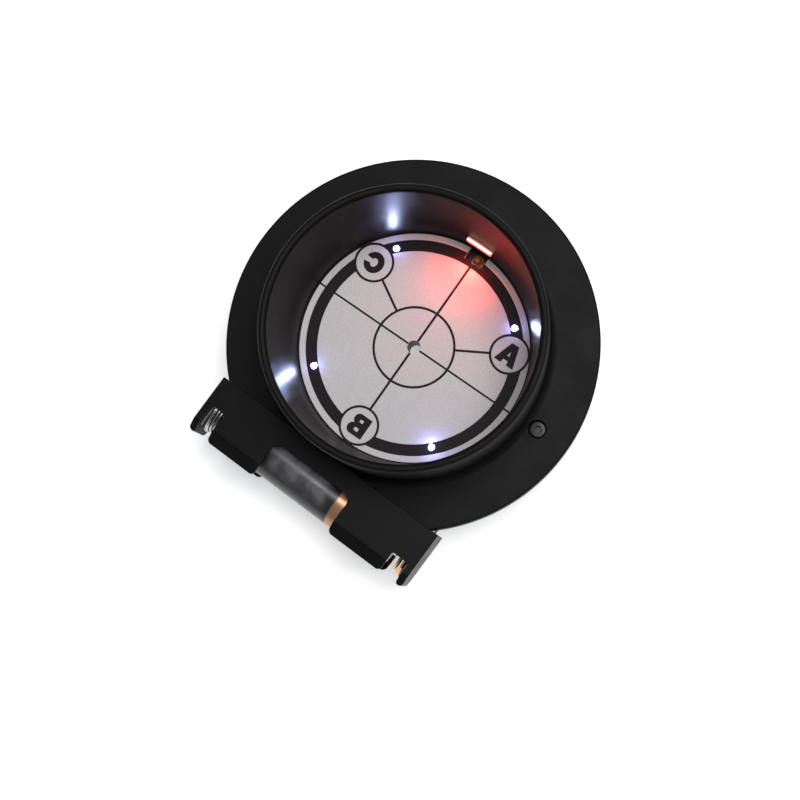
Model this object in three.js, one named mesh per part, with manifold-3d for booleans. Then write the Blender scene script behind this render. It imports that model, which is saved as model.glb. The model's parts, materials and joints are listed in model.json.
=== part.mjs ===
// Lit sighting target: a flanged tube with a printed target plate at its foot, a peephole
// through the plate's centre, four white LEDs, one red index light and a single AAA cell.
//
// Millimetres. Z = 0 is the flange's front face and +Z runs out of the tube. The tube's axis
// is X = Y = 0, the battery holder lies along X on the -Y side, and the red light is at +Y.
// The last lines move the whole assembly so that the rear face stands on Z = 0.

import * as THREE from 'three';
import { mergeVertices } from 'three/addons/utils/BufferGeometryUtils.js';
import Module from 'manifold-3d';

// Flange, tube and the body behind the flange
const flangeRadius = 38.1;
const flangeThickness = 4;
const edgeChamfer = 0.4;
const bodyRadius = 35.2;
const bodyDepth = 11;
const tubeRadius = 28;
const tubeHeight = 20.7;
const footFillet = 1.7;
const boreMouthRadius = 26.3;
const boreFootRadius = 24.1;
const wallThickness = 1.8;
const pocketNearY = -22;
const housingSegments = 64;

// Target plate, spacer ring and board, stacked behind the bore
const plateDepth = 6;
const plateThickness = 1;
const stackRadius = 25.4;
const spacerWidth = 1.4;
const boardDepth = 9.4;
const boardThickness = 1.6;
const boardHoleRadius = 3;
const boardSlotHalf = 3.5;
const boardSlotY = -23.2;

// Lights
const ledCircleRadius = 21;
const ledCount = 4;
const ledHoleRadius = 1;
const notchWidth = 4.3;
const notchInnerY = 21;
const lightBar = { width: 6, depth: 3, height: 1.35, frontY: 23.6, topZ: 0.05, corner: 0.3 };
const ledCollar = { reach: 0.2, height: 0.5 };
const whiteLed = { body: 1.4, nose: 0.75, topBelowPlate: 0.15 };
const redLed = { body: 1.1, nose: 0.9, topBelowPlate: 0.1, x: 0.3, y: 22.4 };
const ledSegments = 16;

// Peephole and rear cover
const peepRadius = 1.4;
const peepStraightEnd = 12.8;
const peepRearRadius = 4;
const coverFrontDepth = 11.2;
const coverRearDepth = 17;
const coverFloor = 2;
const coverCavityRadius = 25.2;
const eyeDishRadius = 11;
const eyeDishDepth = 0.8;
const sleeveRadius = 5;
const sleeveLipRadius = 6.5;
const sleeveLipTop = -11.7;
const sleeveEndInset = 0.4;

// Step-up driver behind the board: inductor, capacitor, chip and three resistors
const inductor = { flange: 3, waist: 2.3, height: 3, edge: 0.4, x: 12, y: 9 };
const capacitor = { radius: 2.1, height: 3.3, edge: 0.2, x: 5, y: 14 };
const chip = { width: 3, depth: 1.7, height: 1.1, x: 11, y: 15.5 };
const resistor = { width: 2, depth: 1.2, height: 0.5, x: -14, firstY: 6, pitch: 3.2 };
const resistorCount = 3;
const solderGap = 0.05;

// Housing screws, M2 socket head, one at each side of the tube's foot
const screwCircleRadius = 30.9;
const screwHeadRadius = 1.7;
const screwHeadHeight = 1.9;
const screwHeadTop = 0.7;
const screwShankRadius = 0.8;
const screwEndDepth = 15;
const screwBossRadius = 3.2;
const screwSocketRadius = 0.87;
const screwSocketDepth = 1;
const screwHeadRoom = 0.2;
const screwShankRoom = 0.4;
const screwEdge = 0.2;
const screwTip = 0.3;

// Battery holder on a flat across the flange. Both are turned a little off the X axis.
const seatTopZ = 2.8;
const holderBackY = -28.1;
const holderMidZ = -3.85;
const holderSkew = THREE.MathUtils.degToRad(1.5);
const holderLength = 54;
const holderWidth = 12.7;
const holderDepth = 12.6;
const holderWall = 1;
const holderFloor = 1.2;
const holderEndWall = 1.4;
const holderScrewX = 12;
const holderScrewHole = 1.2;
const holderScrewHoleEnd = 22.2;
const holderScrew = { shank: 0.8, head: 1.7, tipY: 5, coneEndY: -0.2 };
const holderScrewSeat = { shank: 1.2, head: 2, extra: 0.2 };
const mouthTurn = { start: 2.4, bend: 1.1, share: 0.35, acrossWidth: 0.8, acrossLength: 0.5 };
const cellNotch = { xLow: -10.5, xHigh: 8.5, innerY: -4.2, corner: 1.8 };
const negativeNotch = { xHigh: -22.3, innerY: -5.9, corner: 0.8 };
const positiveNotch = { xLow: 21.6, innerY: -7.9, corner: 0.6 };

// One AAA cell, positive end towards +X
const cellLength = 44.5;
const cellRadius = 5.2;
const cellY = -6.6;
const jacketStart = 0.55;
const jacketEnd = 1.65;
const jacketEdge = 0.4;
const capRise = 0.45;
const capRadius = 4.2;
const nubRadius = 1.8;

// Contacts and springs at the holder's ends
const contactThickness = 0.35;
const contactGap = 0.05;
const contactPlateSize = { lowY: -10.6, highY: -1.5, halfZ: 4.6 };
const contactTailSize = { lowY: -1.7, highY: 1.2, lowZ: -4.4, highZ: -2.4, clearance: 0.2 };
const springRadius = 4.5;
const springGap = 0.1;
const negativeCoil = { turns: 3.25, tip: 3.5, wire: 0.27, steps: 44 };
const positiveCoil = { turns: 2.25, tip: 3.9, wire: 0.3, steps: 32 };

// Leads, in a groove along the flat and a slot into the board's space
const leadRadius = 0.5;
const leadZ = -8.8;
const leadY = -26.25;
const leadGrooveHalfLength = 24;
const leadGrooveBack = 0.65;
const leadGrooveBelow = 1.1;
const leadGrooveAbove = 1.4;
const leadSlotHalf = 6;
const leadSlotY = -23;

// Slide switch in the rear cover, at +Y
const switchBody = { width: 8.6, frontY: 32.8, depth: 5.4, topZ: -11.6, height: 3.3 };
const switchTravel = 2;
const knobWidth = 2;
const knobHeight = 1.45;
const knobRoot = 1.3;
const knobReach = 1.4;
const switchWindowDepth = 1.5;

const gap = 0.3;
const fineGap = 0.1;
const overcut = 1;
const roundSegments = 56;
const smallSegments = 24;

// ---------------------------------------------------------------- solids

const wasm = await Module();
wasm.setup();

function toSolid(geometry) {
  const bare = geometry.clone();
  bare.deleteAttribute('normal');
  bare.deleteAttribute('uv');
  const welded = mergeVertices(bare, 1e-4);
  return new wasm.Manifold(new wasm.Mesh({
    numProp: 3,
    vertProperties: new Float32Array(welded.attributes.position.array),
    triVerts: new Uint32Array(welded.index.array),
  }));
}

function toGeometry(solid) {
  const mesh = solid.getMesh();
  const geometry = new THREE.BufferGeometry();
  geometry.setAttribute('position', new THREE.BufferAttribute(mesh.vertProperties, 3));
  geometry.setIndex(new THREE.BufferAttribute(mesh.triVerts, 1));
  geometry.computeVertexNormals();
  return geometry;
}

// A profile of [radius, z] corners turned round the Z axis. It closes on itself unless it
// starts and ends on the axis.
function turned(corners, segments = roundSegments) {
  const points = corners.map(([radius, z]) => new THREE.Vector2(radius, z));
  if (THREE.ShapeUtils.area(points) < 0) {
    points.reverse();
  }
  const onAxis = points[0].x === 0 && points[points.length - 1].x === 0;
  if (!onAxis) {
    points.push(points[0].clone());
  }
  return toSolid(new THREE.LatheGeometry(points, segments).rotateX(Math.PI / 2));
}

function disc(radius, zLow, zHigh, x = 0, y = 0, segments = smallSegments) {
  const height = zHigh - zLow;
  const geometry = new THREE.CylinderGeometry(radius, radius, height, segments).rotateX(Math.PI / 2);
  return toSolid(geometry.translate(x, y, zLow + height / 2));
}

function block(xLow, xHigh, yLow, yHigh, zLow, zHigh) {
  const geometry = new THREE.BoxGeometry(xHigh - xLow, yHigh - yLow, zHigh - zLow);
  return toSolid(geometry.translate((xLow + xHigh) / 2, (yLow + yHigh) / 2, (zLow + zHigh) / 2));
}

function prism(shape, depth, curveSegments = 6) {
  return new THREE.ExtrudeGeometry(shape, { depth, bevelEnabled: false, curveSegments });
}

function polygon(corners) {
  return new THREE.Shape(corners.map(([x, y]) => new THREE.Vector2(x, y)));
}

function rounded(width, height, radius) {
  const x = width / 2;
  const y = height / 2;
  const shape = new THREE.Shape();
  shape.moveTo(-x + radius, -y);
  shape.lineTo(x - radius, -y);
  shape.absarc(x - radius, -y + radius, radius, -Math.PI / 2, 0);
  shape.lineTo(x, y - radius);
  shape.absarc(x - radius, y - radius, radius, 0, Math.PI / 2);
  shape.lineTo(-x + radius, y);
  shape.absarc(-x + radius, y - radius, radius, Math.PI / 2, Math.PI);
  shape.lineTo(-x, -y + radius);
  shape.absarc(-x + radius, -y + radius, radius, Math.PI, Math.PI * 1.5);
  return shape;
}

// Points of an arc from one angle to another, both ends included, as [x, y] pairs
function arc(x, y, radius, from, to, steps) {
  const points = [];
  for (let i = 0; i <= steps; i += 1) {
    const angle = from + (to - from) * i / steps;
    points.push([x + radius * Math.cos(angle), y + radius * Math.sin(angle)]);
  }
  return points;
}

function wire(curve, radius, steps, sides = 8) {
  const section = polygon(arc(0, 0, radius, 0, Math.PI * 2 * (sides - 1) / sides, sides - 1));
  return toSolid(new THREE.ExtrudeGeometry(section, { steps, extrudePath: curve, bevelEnabled: false }));
}

// ---------------------------------------------------------------- finishes

function finish(color, roughness, metalness = 0) {
  return { color, roughness, metalness };
}

const blackHousing = finish(0x252526, 0.5);
const blackMoulding = finish(0x1b1c1d, 0.42);
const printedPlate = finish(0xc8c6c6, 0.65);
const boardMask = finish(0x14181a, 0.4);
const clearLens = finish(0xf2f5ff, 0.15);
const redLens = finish(0xff3a20, 0.2);
const steel = finish(0xb8bcc0, 0.25, 1);
const blackSteel = finish(0x1d1d1e, 0.35, 1);
const copperWire = finish(0xb87848, 0.3, 1);
const cellFilm = finish(0x141414, 0.3);
const redSleeve = finish(0xa01c18, 0.45);
const blackSleeve = finish(0x161616, 0.45);

function part(parent, name, look, solid) {
  const mesh = new THREE.Mesh(toGeometry(solid), new THREE.MeshStandardMaterial(look));
  mesh.name = name;
  parent.add(mesh);
  return mesh;
}

const assembly = new THREE.Group();

// ---------------------------------------------------------------- front housing

// The hollow ring behind the flange, round the stack of plate and board, which lightens both
// halves of the body. It stops at the screw bosses and well short of the battery holder's seat.
function ringPocket(zLow, zHigh) {
  const inner = stackRadius + gap + wallThickness;
  const outer = bodyRadius - wallThickness;
  let pocket = turned([[inner, zLow], [outer, zLow], [outer, zHigh], [inner, zHigh]]);
  for (const x of [-screwCircleRadius, screwCircleRadius]) {
    pocket = pocket.subtract(disc(screwBossRadius, zLow - overcut, zHigh + overcut, x, 0));
  }
  return pocket.subtract(block(-flangeRadius, flangeRadius, -flangeRadius, pocketNearY,
    zLow - overcut, zHigh + overcut));
}

function frontHousing() {
  const rimRadius = (tubeRadius - boreMouthRadius) / 2;
  const foot = arc(tubeRadius + footFillet, footFillet, footFillet, -Math.PI / 2, -Math.PI, 3);
  const rim = arc(tubeRadius - rimRadius, tubeHeight - rimRadius, rimRadius, 0, Math.PI, 4);
  let solid = turned([
    [stackRadius + gap, -bodyDepth],
    [bodyRadius, -bodyDepth],
    [bodyRadius, -flangeThickness],
    [flangeRadius - edgeChamfer, -flangeThickness],
    [flangeRadius, -flangeThickness + edgeChamfer],
    [flangeRadius, -edgeChamfer],
    [flangeRadius - edgeChamfer, 0],
    ...foot,
    ...rim,
    [boreFootRadius, -plateDepth + fineGap],
    [stackRadius + gap, -plateDepth + fineGap],
  ], housingSegments);
  solid = solid.subtract(seatCut());
  solid = solid.subtract(ringPocket(-bodyDepth - overcut, -flangeThickness + 1));
  const seatRadius = screwHeadRadius + screwHeadRoom;
  const seatFloor = -screwHeadTop - screwHeadHeight - fineGap;
  for (const x of [-screwCircleRadius, screwCircleRadius]) {
    solid = solid.subtract(disc(seatRadius, seatFloor, footFillet + overcut, x, 0));
    solid = solid.subtract(disc(screwShankRadius + screwShankRoom, -bodyDepth - overcut, 0, x, 0));
  }
  solid = solid.subtract(block(-lightBar.width / 2 - gap, lightBar.width / 2 + gap,
    boreFootRadius - 2, lightBar.frontY + lightBar.depth + gap,
    lightBar.topZ - lightBar.height - gap, lightBar.topZ + gap));
  for (const x of [-holderScrewX, holderScrewX]) {
    const hole = toGeometry(disc(holderScrewHole, holderScrewHoleEnd, flangeRadius)).rotateX(Math.PI / 2);
    solid = solid.subtract(toSolid(hole.translate(x, 0, holderMidZ)));
  }
  return solid.subtract(leadGroove()).subtract(leadSlot());
}

// Everything on the holder's side of the flat, which runs along the holder's back
function seatCut() {
  const cutter = block(-flangeRadius, flangeRadius, -flangeRadius, gap, -bodyDepth - overcut, seatTopZ);
  return toSolid(toGeometry(cutter).rotateZ(-holderSkew).translate(0, holderBackY, 0));
}

// Two cuts in the flat for the leads: a groove along it and a slot into the board's space
function leadGroove() {
  return block(-leadGrooveHalfLength, leadGrooveHalfLength, -flangeRadius, leadY + leadGrooveBack,
    leadZ - leadGrooveBelow, leadZ + leadGrooveAbove);
}

function leadSlot() {
  return block(-leadSlotHalf, leadSlotHalf, -flangeRadius, leadSlotY,
    -bodyDepth - overcut, leadZ + leadGrooveAbove);
}

part(assembly, 'front_housing', blackHousing, frontHousing());

// ---------------------------------------------------------------- target plate, spacer, board

function targetPlate() {
  let solid = disc(stackRadius, -plateDepth - plateThickness, -plateDepth, 0, 0, roundSegments);
  const low = -plateDepth - plateThickness - overcut;
  solid = solid.subtract(disc(peepRadius, low, 0));
  for (let i = 0; i < ledCount; i += 1) {
    const angle = Math.PI / 4 + i * Math.PI * 2 / ledCount;
    const x = ledCircleRadius * Math.cos(angle);
    const y = ledCircleRadius * Math.sin(angle);
    solid = solid.subtract(disc(ledHoleRadius, low, 0, x, y, ledSegments));
  }
  return solid.subtract(block(-notchWidth / 2, notchWidth / 2, notchInnerY, stackRadius + overcut,
    low, 0));
}

function ledBoard() {
  const low = -boardDepth - boardThickness;
  let solid = disc(stackRadius, low, -boardDepth, 0, 0, roundSegments);
  solid = solid.subtract(disc(boardHoleRadius, low - overcut, 0));
  return solid.subtract(block(-boardSlotHalf, boardSlotHalf, -stackRadius - overcut, boardSlotY,
    low - overcut, 0));
}

const spacerFront = -plateDepth - plateThickness - fineGap;
const spacerRear = -boardDepth + fineGap;
part(assembly, 'target_plate', printedPlate, targetPlate());
part(assembly, 'plate_spacer', blackMoulding, turned([
  [stackRadius - spacerWidth, spacerRear],
  [stackRadius, spacerRear],
  [stackRadius, spacerFront],
  [stackRadius - spacerWidth, spacerFront],
]).subtract(block(-leadSlotHalf, leadSlotHalf, -stackRadius - overcut, leadSlotY,
  spacerRear - overcut, 0)));
part(assembly, 'led_board', boardMask, ledBoard());

// ---------------------------------------------------------------- lights

// A round LED on the board: a collared body and a domed nose that reaches into the plate
function led({ body, nose, topBelowPlate }) {
  const baseZ = -boardDepth + solderGap;
  const collarZ = baseZ + ledCollar.height;
  const bodyTopZ = -plateDepth - plateThickness - gap;
  const topZ = -plateDepth - topBelowPlate;
  const dome = arc(0, topZ - nose, nose, 0, Math.PI / 2, 3).slice(0, -1);
  return turned([
    [0, baseZ],
    [body + ledCollar.reach, baseZ],
    [body + ledCollar.reach, collarZ],
    [body, collarZ],
    [body, bodyTopZ],
    ...dome,
    [0, topZ],
  ], ledSegments);
}

for (let i = 0; i < ledCount; i += 1) {
  const angle = Math.PI / 4 + i * Math.PI * 2 / ledCount;
  const white = part(assembly, `white_led_${i + 1}`, clearLens, led(whiteLed));
  white.position.set(ledCircleRadius * Math.cos(angle), ledCircleRadius * Math.sin(angle), 0);
}
part(assembly, 'red_led', redLens, led(redLed)).position.set(redLed.x, redLed.y, 0);

const bar = prism(rounded(lightBar.width, lightBar.height, lightBar.corner), lightBar.depth, 2)
  .rotateX(-Math.PI / 2)
  .translate(0, lightBar.frontY, lightBar.topZ - lightBar.height / 2);
part(assembly, 'red_light_bar', redLens, toSolid(bar));

// ---------------------------------------------------------------- driver parts behind the board

const solderZ = -boardDepth - boardThickness - solderGap;
part(assembly, 'driver_inductor', blackMoulding, turned([
  [0, solderZ - inductor.height],
  [inductor.flange - inductor.edge, solderZ - inductor.height],
  [inductor.flange, solderZ - inductor.height + inductor.edge],
  [inductor.waist, solderZ - inductor.height + 2 * inductor.edge],
  [inductor.waist, solderZ - 2 * inductor.edge],
  [inductor.flange, solderZ - inductor.edge],
  [inductor.flange, solderZ],
  [0, solderZ],
], smallSegments)).position.set(inductor.x, inductor.y, 0);
part(assembly, 'driver_capacitor', steel, turned([
  [0, solderZ - capacitor.height],
  [capacitor.radius - capacitor.edge, solderZ - capacitor.height],
  [capacitor.radius, solderZ - capacitor.height + capacitor.edge],
  [capacitor.radius, solderZ],
  [0, solderZ],
], smallSegments)).position.set(capacitor.x, capacitor.y, 0);

// A square part soldered to the board's rear face, about its own middle
function chipBody({ width, depth, height }) {
  return block(-width / 2, width / 2, -depth / 2, depth / 2, solderZ - height, solderZ);
}

part(assembly, 'driver_chip', blackMoulding, chipBody(chip)).position.set(chip.x, chip.y, 0);
for (let i = 0; i < resistorCount; i += 1) {
  part(assembly, `resistor_${i + 1}`, blackMoulding, chipBody(resistor))
    .position.set(resistor.x, resistor.firstY + i * resistor.pitch, 0);
}

// ---------------------------------------------------------------- peephole and rear cover

const sleeveNeckRadius = boardHoleRadius - fineGap - gap;
const sleeveTop = -plateDepth - plateThickness - gap;
part(assembly, 'peep_sleeve', blackMoulding, turned([
  [peepRadius, -peepStraightEnd],
  [peepRearRadius, -coverRearDepth + sleeveEndInset],
  [sleeveRadius, -coverRearDepth + sleeveEndInset],
  [sleeveRadius, -coverRearDepth + coverFloor + gap],
  [sleeveLipRadius, -coverRearDepth + coverFloor + gap],
  [sleeveLipRadius, sleeveLipTop],
  [sleeveNeckRadius, sleeveLipTop],
  [sleeveNeckRadius, sleeveTop],
  [peepRadius, sleeveTop],
], 32));

function rearCover() {
  const floorZ = -coverRearDepth + coverFloor;
  let solid = turned([
    [coverCavityRadius, -coverFrontDepth],
    [coverCavityRadius, floorZ],
    [sleeveRadius + gap, floorZ],
    [sleeveRadius + gap, -coverRearDepth + eyeDishDepth],
    [eyeDishRadius, -coverRearDepth],
    [bodyRadius - 2 * edgeChamfer, -coverRearDepth],
    [bodyRadius, -coverRearDepth + 2 * edgeChamfer],
    [bodyRadius, -coverFrontDepth],
  ]);
  solid = solid.subtract(ringPocket(floorZ, -coverFrontDepth + overcut));
  for (const x of [-screwCircleRadius, screwCircleRadius]) {
    solid = solid.subtract(disc(screwShankRadius + screwHeadRoom, -screwEndDepth - screwTip, 0, x, 0));
  }
  solid = solid.subtract(block(-switchBody.width / 2 - gap, switchBody.width / 2 + gap,
    coverCavityRadius - overcut, switchBody.frontY + gap, floorZ, 0));
  const knobRoom = (knobWidth + switchTravel) / 2 + gap;
  return solid.subtract(block(-knobRoom, knobRoom, switchBody.frontY, bodyRadius + overcut,
    switchKnobLow() - gap, switchKnobLow() + knobHeight + gap));
}

// ---------------------------------------------------------------- slide switch

function switchKnobLow() {
  return switchBody.topZ - switchBody.height / 2 - knobHeight / 2;
}

function slideSwitch() {
  const { width, frontY, depth, topZ, height } = switchBody;
  const room = (knobWidth + switchTravel) / 2 + gap;
  const low = switchKnobLow();
  return block(-width / 2, width / 2, frontY - depth, frontY, topZ - height, topZ)
    .subtract(block(-room, room, frontY - switchWindowDepth, frontY + overcut,
      low - gap / 2, low + knobHeight + gap / 2));
}

part(assembly, 'rear_cover', blackHousing, rearCover());
part(assembly, 'switch_body', steel, slideSwitch());
part(assembly, 'switch_knob', blackMoulding, block(-knobWidth / 2, knobWidth / 2,
  switchBody.frontY - knobRoot, bodyRadius + knobReach, switchKnobLow(), switchKnobLow() + knobHeight))
  .position.x = -switchTravel / 2;

// ---------------------------------------------------------------- housing screws

function socketScrew() {
  const headLow = -screwHeadTop - screwHeadHeight;
  const solid = turned([
    [0, -screwEndDepth],
    [screwShankRadius - screwTip, -screwEndDepth],
    [screwShankRadius, -screwEndDepth + screwTip],
    [screwShankRadius, headLow],
    [screwHeadRadius, headLow],
    [screwHeadRadius, -screwHeadTop - screwEdge],
    [screwHeadRadius - screwEdge, -screwHeadTop],
    [0, -screwHeadTop],
  ], smallSegments);
  return solid.subtract(disc(screwSocketRadius, -screwHeadTop - screwSocketDepth, 0, 0, 0, 6));
}

[screwCircleRadius, -screwCircleRadius].forEach((x, i) => {
  part(assembly, `housing_screw_${i + 1}`, blackSteel, socketScrew()).position.x = x;
});

// ---------------------------------------------------------------- battery holder

// Local axes: X along the cell, Y = 0 at the back face with -Y towards the mouth, Z = 0 at
// the cell's mid-plane.
const holder = new THREE.Group();
holder.position.set(0, holderBackY, holderMidZ);
holder.rotation.z = -holderSkew;
assembly.add(holder);

// Outline of the trough across its length or its width: square at the back, turned in at
// the mouth
function mouthOutline(half, turnIn) {
  return polygon([
    [-half, 0],
    [-half, -holderDepth + mouthTurn.start],
    [-half + turnIn * mouthTurn.share, -holderDepth + mouthTurn.bend],
    [-half + turnIn, -holderDepth],
    [half - turnIn, -holderDepth],
    [half - turnIn * mouthTurn.share, -holderDepth + mouthTurn.bend],
    [half, -holderDepth + mouthTurn.start],
    [half, 0],
  ]);
}

// A notch through both walls, open at the mouth
function mouthNotch(xLow, xHigh, innerY, corner) {
  const height = 2 * holderDepth;
  const cutter = prism(rounded(xHigh - xLow, height, corner), holderWidth * 2, 4);
  return toSolid(cutter.translate((xLow + xHigh) / 2, innerY - height / 2, -holderWidth));
}

function batteryHolder() {
  const across = toSolid(prism(mouthOutline(holderWidth / 2, mouthTurn.acrossWidth), holderLength)
    .rotateY(Math.PI / 2)
    .translate(-holderLength / 2, 0, 0));
  const along = toSolid(prism(mouthOutline(holderLength / 2, mouthTurn.acrossLength), holderWidth * 2)
    .translate(0, 0, -holderWidth));
  const insideX = holderLength / 2 - holderEndWall;
  const insideZ = holderWidth / 2 - holderWall;
  let solid = across.intersect(along)
    .subtract(block(-insideX, insideX, -holderDepth - overcut, -holderFloor, -insideZ, insideZ))
    .subtract(mouthNotch(cellNotch.xLow, cellNotch.xHigh, cellNotch.innerY, cellNotch.corner))
    .subtract(mouthNotch(-insideX, negativeNotch.xHigh, negativeNotch.innerY, negativeNotch.corner))
    .subtract(mouthNotch(positiveNotch.xLow, insideX, positiveNotch.innerY, positiveNotch.corner));
  const { shank, head, extra } = holderScrewSeat;
  for (const x of [-holderScrewX, holderScrewX]) {
    solid = solid.subtract(toSolid(toGeometry(countersunk(shank, head, extra)).translate(x, 0, 0)));
  }
  for (const side of [-1, 1]) {
    solid = solid.subtract(contactTail(side, contactTailSize.clearance));
  }
  return solid;
}

// Countersunk form along +Y with its wide face level with the inside of the trough's floor
function countersunk(shankRadius, headRadius, extra) {
  const headY = -holderFloor - extra;
  const cone = turned([
    [0, headY],
    [headRadius, headY],
    [headRadius, -holderFloor + fineGap],
    [shankRadius, holderScrew.coneEndY],
    [shankRadius, holderScrew.tipY],
    [0, holderScrew.tipY],
  ], smallSegments);
  return toSolid(toGeometry(cone).rotateX(-Math.PI / 2));
}

// The two X faces of a contact's sheet at one end, lower first
function contactFaces(side) {
  const outer = holderLength / 2 - holderEndWall - contactGap;
  const inner = outer - contactThickness;
  return side > 0 ? [inner, outer] : [-outer, -inner];
}

function contactTail(side, clearance) {
  const [xLow, xHigh] = contactFaces(side);
  const { lowY, highY, lowZ, highZ } = contactTailSize;
  return block(xLow - clearance, xHigh + clearance, lowY - clearance, highY + clearance,
    lowZ - clearance, highZ + clearance);
}

function contactPlate(side) {
  const [xLow, xHigh] = contactFaces(side);
  const { lowY, highY, halfZ } = contactPlateSize;
  return block(xLow, xHigh, lowY, highY, -halfZ, halfZ).add(contactTail(side, 0));
}

// A closed coil spring between a contact plate and the cell's end, narrowing towards the cell
function coilSpring(side, coil) {
  class Coil extends THREE.Curve {
    getPoint(t, target = new THREE.Vector3()) {
      const start = contactFaces(1)[0] - springGap - coil.wire;
      const end = cellLength / 2 + springGap + coil.wire;
      const radius = springRadius + (coil.tip - springRadius) * t;
      const angle = t * coil.turns * Math.PI * 2 + Math.PI / 2;
      const x = side * (start + (end - start) * t);
      return target.set(x, radius * Math.cos(angle), radius * Math.sin(angle));
    }
  }
  const solid = wire(new Coil(), coil.wire, coil.steps, 6);
  return toSolid(toGeometry(solid).translate(0, cellY, 0));
}

part(holder, 'battery_holder', blackMoulding, batteryHolder());
part(holder, 'negative_contact', steel, contactPlate(-1));
part(holder, 'positive_contact', steel, contactPlate(1));
part(holder, 'negative_spring', steel, coilSpring(-1, negativeCoil));
part(holder, 'positive_spring', copperWire, coilSpring(1, positiveCoil));
[-holderScrewX, holderScrewX].forEach((x, i) => {
  const screw = countersunk(holderScrew.shank, holderScrew.head, 0);
  part(holder, `holder_screw_${i + 1}`, steel, screw).position.x = x;
});

// ---------------------------------------------------------------- AAA cell

// Local Z of each turned profile becomes the cell's length along X
const cell = new THREE.Group();
cell.position.y = cellY;
holder.add(cell);

const jacketLow = -cellLength / 2 + jacketStart;
const jacketHigh = cellLength / 2 - jacketEnd;

function alongX(solid) {
  return toSolid(toGeometry(solid).rotateY(Math.PI / 2));
}

part(cell, 'battery_jacket', cellFilm, alongX(turned([
  [0, jacketLow],
  [cellRadius - jacketEdge, jacketLow],
  [cellRadius, jacketLow + jacketEdge],
  [cellRadius, jacketHigh - jacketEdge],
  [cellRadius - jacketEdge, jacketHigh],
  [0, jacketHigh],
], 48)));
part(cell, 'battery_negative_cap', steel, alongX(turned([
  [0, -cellLength / 2],
  [capRadius, -cellLength / 2],
  [capRadius + fineGap, -cellLength / 2 + capRise],
  [0, -cellLength / 2 + capRise],
], smallSegments)));
part(cell, 'battery_positive_cap', steel, alongX(turned([
  [0, jacketHigh + fineGap],
  [capRadius - fineGap, jacketHigh + fineGap],
  [capRadius - 3 * fineGap, jacketHigh + fineGap + capRise],
  [nubRadius + fineGap, jacketHigh + fineGap + capRise],
  [nubRadius, cellLength / 2],
  [0, cellLength / 2],
], smallSegments)));

// ---------------------------------------------------------------- battery leads

// Each lead runs from a contact's tail along the groove in the seat, through the slot and
// round the board's edge to its rear face.
function lead(side) {
  const route = new THREE.CatmullRomCurve3([
    new THREE.Vector3(side * 24.3, leadY, -7.2),
    new THREE.Vector3(side * 23, leadY, -8.2),
    new THREE.Vector3(side * 20.5, leadY, leadZ),
    new THREE.Vector3(side * 12, leadY, leadZ),
    new THREE.Vector3(side * 5, leadY, leadZ),
    new THREE.Vector3(side * 2.6, -25.4, -9.4),
    new THREE.Vector3(side * 1.9, -24.4, -11),
    new THREE.Vector3(side * 1.8, -22.8, -11.9),
    new THREE.Vector3(side * 1.8, -20.6, -11.9),
  ]);
  return wire(route, leadRadius, 28);
}

part(assembly, 'negative_lead', blackSleeve, lead(-1));
part(assembly, 'positive_lead', redSleeve, lead(1));

// ---------------------------------------------------------------- placing

// The origin is the middle of the assembly's box, on the plane of the rear face
const group = new THREE.Group();
group.add(assembly);
group.updateMatrixWorld(true);
const box = new THREE.Box3().setFromObject(group, true);
assembly.position.set(-(box.min.x + box.max.x) / 2, -(box.min.y + box.max.y) / 2, -box.min.z);

export default group;
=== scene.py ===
import json
import math

import bmesh
import bpy
from mathutils import Euler, Matrix, Vector


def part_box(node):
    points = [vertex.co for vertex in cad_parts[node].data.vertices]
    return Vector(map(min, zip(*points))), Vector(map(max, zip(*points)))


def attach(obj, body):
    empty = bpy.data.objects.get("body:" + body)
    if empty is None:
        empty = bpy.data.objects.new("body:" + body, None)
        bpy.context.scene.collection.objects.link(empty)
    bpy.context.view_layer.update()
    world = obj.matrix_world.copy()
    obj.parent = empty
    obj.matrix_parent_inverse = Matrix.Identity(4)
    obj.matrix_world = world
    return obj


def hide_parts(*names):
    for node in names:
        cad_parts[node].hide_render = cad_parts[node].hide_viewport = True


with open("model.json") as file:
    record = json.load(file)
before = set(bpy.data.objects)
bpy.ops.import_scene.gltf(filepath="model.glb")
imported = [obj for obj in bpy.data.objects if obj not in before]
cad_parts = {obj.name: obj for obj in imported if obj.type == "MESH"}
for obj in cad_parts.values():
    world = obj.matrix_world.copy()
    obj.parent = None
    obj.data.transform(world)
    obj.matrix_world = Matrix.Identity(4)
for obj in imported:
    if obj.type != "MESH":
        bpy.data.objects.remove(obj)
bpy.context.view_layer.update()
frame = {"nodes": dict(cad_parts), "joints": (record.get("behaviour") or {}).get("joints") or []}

# ------------------------------------------------------------------ camera and set-up plane
# Everything is placed from the tube's axis and the flange's front face, as on the drawing.
# The rear cover is a full disc, so its box gives the axis; the tube's rim gives the face.

camera_offset = Vector((0.05375, -0.02544, 0.33572))
camera_angles = (6.789, 5.371, 35.202)
tube_height = 0.0207
cover_low, cover_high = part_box("rear_cover")
face_centre = Vector((
    (cover_low.x + cover_high.x) / 2,
    (cover_low.y + cover_high.y) / 2,
    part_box("front_housing")[1].z - tube_height,
))

camera_data = bpy.data.cameras.new("camera")
camera_data.lens = 75.79
camera_data.sensor_width = 36
camera = bpy.data.objects.new("camera", camera_data)
bpy.context.scene.collection.objects.link(camera)
camera.location = face_centre + camera_offset
camera.rotation_euler = Euler([math.radians(angle) for angle in camera_angles])
bpy.context.scene.camera = camera
bpy.context.scene.view_settings.view_transform = "Standard"

# ------------------------------------------------------------------ front housing
# One black plastic turning: a flat flange, a tube that rises from it and a conical bore with
# a polished wall. A flat is cut across the flange for the battery holder, and two screw
# seats and the red light's pocket are cut last.

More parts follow.
